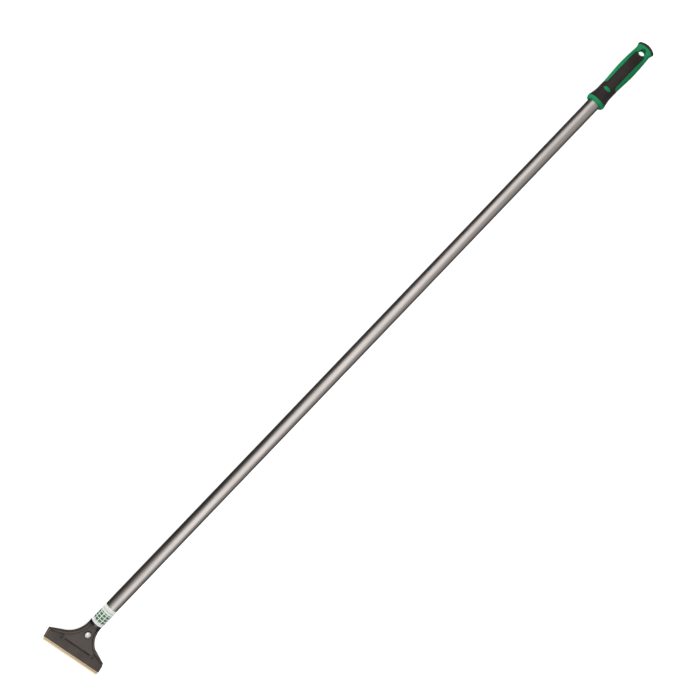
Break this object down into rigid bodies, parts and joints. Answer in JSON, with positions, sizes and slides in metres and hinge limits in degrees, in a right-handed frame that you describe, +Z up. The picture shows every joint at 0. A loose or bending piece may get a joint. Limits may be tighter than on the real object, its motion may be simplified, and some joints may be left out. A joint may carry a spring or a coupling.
{
  "type": "algae scraper",
  "caption": "Long-handled algae scraper with a moulded grip, a steel pole and a cast head that clamps a replaceable straight blade.",
  "frame": {"origin": "centre of the hanging hole, on the axis of the pole", "axes": "+X along the pole from the head to the grip's cap, +Y along the blade, +Z up out of the face that carries the clamp screw"},
  "size_m": [1.219, 0.1016, 0.0305],
  "materials": {
    "pole_steel": "satin drawn tube",
    "plug_plastic": "moulded",
    "label_print": "white printed film with green blocks",
    "bush_black": "glossy black",
    "pin_steel": "plain",
    "head_paint": "dark satin paint over a cast surface",
    "nut_zinc": "zinc plated",
    "plate_paint": "dark satin paint",
    "peg_paint": "dark satin paint",
    "washer_black": "black oxide",
    "screw_bright": "bright plated",
    "blade_tan": "tan lacquer with a ground bevel",
    "grip_green": "hard green moulding",
    "grip_soft": "soft black overmould",
    "cap_black": "hard black moulding"
  },
  "bodies": {
    "frame": {"pole_tube": "pole_steel", "pole_plug": "plug_plastic", "label_sleeve": "label_print", "neck_bush": "bush_black", "neck_pin": "pin_steel", "head_casting": "head_paint", "clamp_nut": "nut_zinc", "grip_core": "grip_green", "grip_overmould": "grip_soft", "grip_end_cap": "cap_black"},
    "clamp": {"clamp_plate": "plate_paint", "blade_pegs": "peg_paint", "lock_washer": "washer_black"},
    "screw": {"clamp_screw": "screw_bright"},
    "blade": {"blade": "blade_tan"}
  },
  "joints": [
    {"name": "clamp_lift", "type": "slide", "parent": "frame", "child": "clamp", "axis": [0.1305, 0, 0.9914], "range_m": [0, 0.0024]},
    {"name": "screw_turn", "type": "hinge", "parent": "clamp", "child": "screw", "pos_m": [-1.166, 0, 0.00598], "axis": [0.1305, 0, 0.9914], "range_deg": [0, 1090]},
    {"name": "blade_slide", "type": "slide", "parent": "frame", "child": "blade", "axis": [-0.866, 0, 0.5], "range_m": [0, 0.02]}
  ],
  "couplings": [
    {"joint": "screw_turn", "follows": "clamp_lift", "rad_per_m": 7854}
  ]
}
